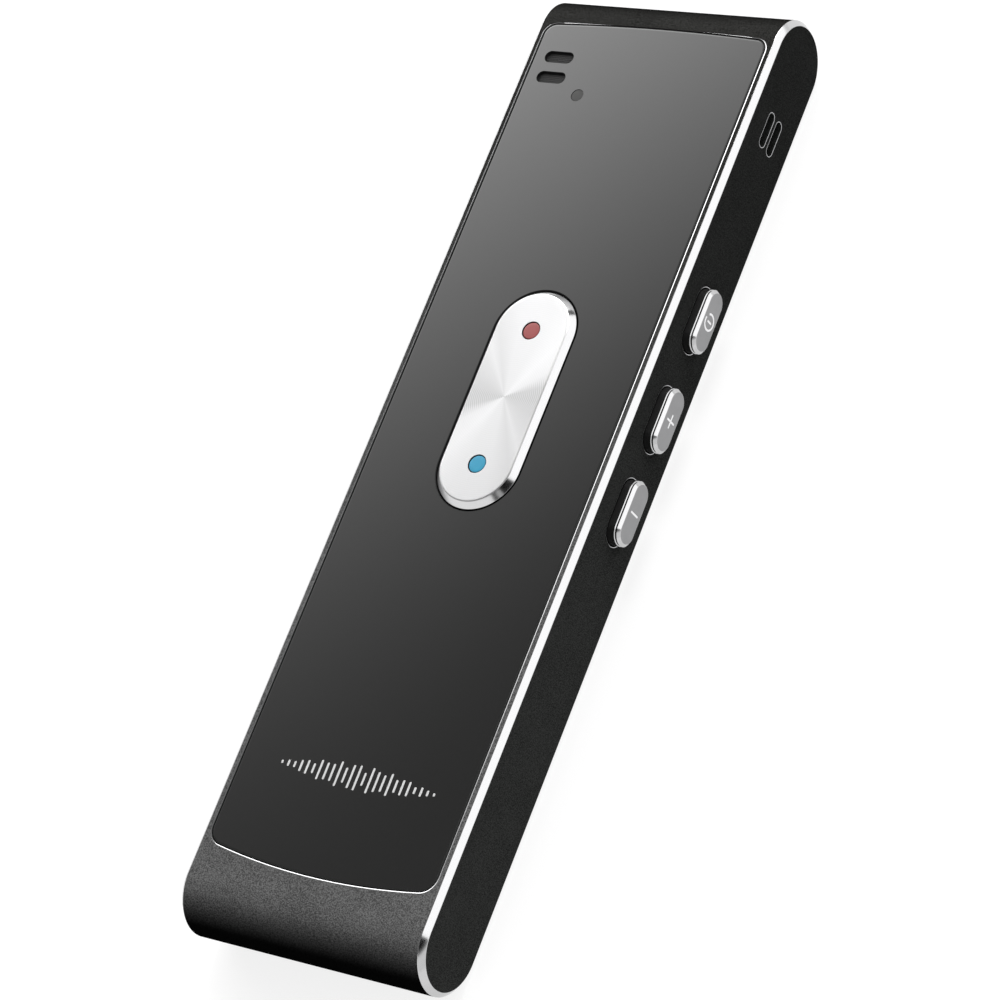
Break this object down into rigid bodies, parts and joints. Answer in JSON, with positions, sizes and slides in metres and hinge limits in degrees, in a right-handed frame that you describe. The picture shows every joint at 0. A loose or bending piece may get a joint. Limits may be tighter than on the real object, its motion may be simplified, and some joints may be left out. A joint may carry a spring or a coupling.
{
  "type": "handheld translator",
  "caption": "Slim pocket translator: a dark metal shell with round ends, a glossy face with a tilting rocker key, and side buttons beside strap slots.",
  "frame": {"origin": "centre of the rear face, which the device rests on when it lies down", "axes": "+X towards the side with the three buttons, +Y towards the end with the voice slots, +Z out of the face with the rocker key"},
  "size_m": [0.0396, 0.138, 0.0131],
  "materials": {
    "anodised_shell": "dark grey anodising, finely blasted, with bright cut chamfers",
    "face_glass": "glossy dark grey, glass-like",
    "back_plastic": "fine matt grain",
    "spun_metal": "spun rings with a polished chamfer",
    "button_metal": "satin with a bright chamfer",
    "red_enamel": "satin enamel",
    "blue_enamel": "satin enamel",
    "black_plastic": "moulded",
    "cream_plastic": "moulded",
    "smoked_plastic": "smoked, clear",
    "soft_rubber": "matt",
    "black_foam": "open-celled",
    "board_laminate": "green solder mask",
    "chip_resin": "moulded epoxy",
    "tinned_steel": "tin plated",
    "plain_steel": "nickel plated",
    "black_steel": "black zinc",
    "pale_ceramic": "unglazed",
    "battery_pouch": "laminated foil",
    "red_insulation": "smooth",
    "black_insulation": "smooth"
  },
  "bodies": {
    "casing": {"housing": "anodised_shell", "front_panel": "face_glass", "rear_cover": "back_plastic", "rocker_pin": "plain_steel", "rocker_bracket": "plain_steel", "upper_snap_dome": "plain_steel", "lower_snap_dome": "plain_steel", "power_switch": "black_plastic", "plus_switch": "black_plastic", "minus_switch": "black_plastic", "strap_cup": "black_plastic", "circuit_board": "board_laminate", "shield_can": "tinned_steel", "processor": "chip_resin", "memory_chip": "chip_resin", "radio_module": "tinned_steel", "antenna": "pale_ceramic", "microphone": "tinned_steel", "microphone_boot": "soft_rubber", "status_led": "cream_plastic", "status_window": "smoked_plastic", "usb_socket": "plain_steel", "usb_tongue": "black_plastic", "battery": "battery_pouch", "battery_foam": "black_foam", "battery_plug": "cream_plastic", "battery_lead_red": "red_insulation", "battery_lead_black": "black_insulation", "speaker": "black_plastic", "speaker_gasket": "black_foam", "speaker_plug": "cream_plastic", "speaker_lead_red": "red_insulation", "speaker_lead_black": "black_insulation", "cover_screw_1": "black_steel", "cover_screw_2": "black_steel", "cover_screw_3": "black_steel", "cover_screw_4": "black_steel", "board_screw_1": "plain_steel", "board_screw_2": "plain_steel", "board_screw_3": "plain_steel", "board_screw_4": "plain_steel"},
    "rocker": {"rocker_cap": "spun_metal", "red_inlay": "red_enamel", "blue_inlay": "blue_enamel", "rocker_carrier": "black_plastic"},
    "power_key": {"power_button": "button_metal", "power_plunger": "cream_plastic"},
    "plus_key": {"plus_button": "button_metal", "plus_plunger": "cream_plastic"},
    "minus_key": {"minus_button": "button_metal", "minus_plunger": "cream_plastic"}
  },
  "joints": [
    {"name": "rocker_tilt", "type": "hinge", "parent": "casing", "child": "rocker", "pos_m": [0, 0.00717, 0.00996], "axis": [1, 0, 0], "range_deg": [-1.5, 1.5], "stiffness_Nm_per_rad": 0.6, "deforming": ["upper_snap_dome", "lower_snap_dome"]},
    {"name": "power_press", "type": "slide", "parent": "casing", "child": "power_key", "axis": [-1, 0, 0], "range_m": [0, 0.00025], "stiffness_N_per_m": 6000},
    {"name": "plus_press", "type": "slide", "parent": "casing", "child": "plus_key", "axis": [-1, 0, 0], "range_m": [0, 0.00025], "stiffness_N_per_m": 6000},
    {"name": "minus_press", "type": "slide", "parent": "casing", "child": "minus_key", "axis": [-1, 0, 0], "range_m": [0, 0.00025], "stiffness_N_per_m": 6000}
  ]
}
